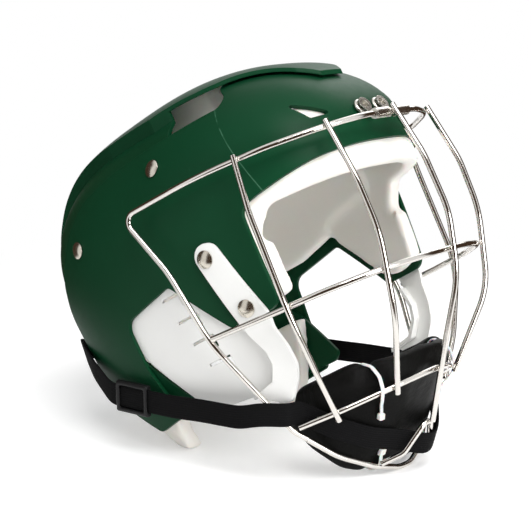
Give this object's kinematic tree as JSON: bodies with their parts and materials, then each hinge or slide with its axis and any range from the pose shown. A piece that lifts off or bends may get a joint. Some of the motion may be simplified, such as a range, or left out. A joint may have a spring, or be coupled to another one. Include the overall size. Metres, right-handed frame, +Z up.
{
  "type": "hurling helmet",
  "caption": "Hard-shell sports helmet with a raised crown ridge, white ear guards, foam liner, hinged wire face guard, padded chin cup and webbing strap with slider.",
  "frame": {"origin": "centre of the bounding box in plan, at the level it stands on", "axes": "+Z up as it stands leaned back on its chin pad and nape; the face guard points to -Y; +X is the wearer's left"},
  "size_m": [0.225, 0.3318, 0.2704],
  "materials": {
    "shell_green": "satin moulded",
    "white_plastic": "satin moulded",
    "white_foam": "fine closed-cell foam",
    "nickel": "satin nickel plated",
    "zinc": "zinc plated",
    "stainless_wire": "polished stainless",
    "black_leather": "soft semi-gloss",
    "black_webbing": "woven",
    "black_plastic": "satin moulded",
    "clear_nylon": "translucent"
  },
  "bodies": {
    "helmet": {"front_shell": "shell_green", "rear_shell": "shell_green", "ear_guard_right": "white_plastic", "ear_guard_left": "white_plastic", "shell_rivets": "nickel", "ear_guard_rivets": "nickel", "brow_pad": "white_foam", "rear_pad": "white_foam", "crown_pad": "white_foam", "temple_pad_right": "white_foam", "temple_pad_left": "white_foam", "side_pad_right": "white_foam", "side_pad_left": "white_foam", "nape_pad_right": "white_foam", "nape_pad_left": "white_foam", "brow_bracket_right": "nickel", "brow_bracket_left": "nickel", "bracket_cups": "nickel", "bracket_screws": "nickel", "bracket_nuts": "zinc", "strap_rear": "black_webbing", "strap_side_right": "black_webbing", "strap_side_left": "black_webbing"},
    "face_guard": {"guard_frame": "stainless_wire", "guard_lower_loop": "stainless_wire", "guard_eye_bar": "stainless_wire", "guard_chin_bar": "stainless_wire", "guard_strap_loop": "stainless_wire", "guard_centre_bar": "stainless_wire", "guard_inner_bar_right": "stainless_wire", "guard_inner_bar_left": "stainless_wire", "guard_outer_bar_right": "stainless_wire", "guard_outer_bar_left": "stainless_wire", "chin_pad": "black_leather", "upper_tie_right": "clear_nylon", "upper_tie_left": "clear_nylon", "lower_tie_right": "clear_nylon", "lower_tie_left": "clear_nylon", "strap_front": "black_webbing"},
    "strap_slider": {"strap_slider": "black_plastic"}
  },
  "joints": [
    {"name": "guard_swing", "type": "hinge", "parent": "helmet", "child": "face_guard", "pos_m": [0, -0.11056, 0.24185], "axis": [-1, 0, 0], "range_deg": [0, 30], "stiffness_Nm_per_rad": 2, "springref_deg": -11.46, "deforming": ["strap_side_right", "strap_side_left"]},
    {"name": "slider_slide", "type": "slide", "parent": "helmet", "child": "strap_slider", "axis": [-0.0291, -0.9993, 0.025], "range_m": [-0.006, 0.018]}
  ]
}
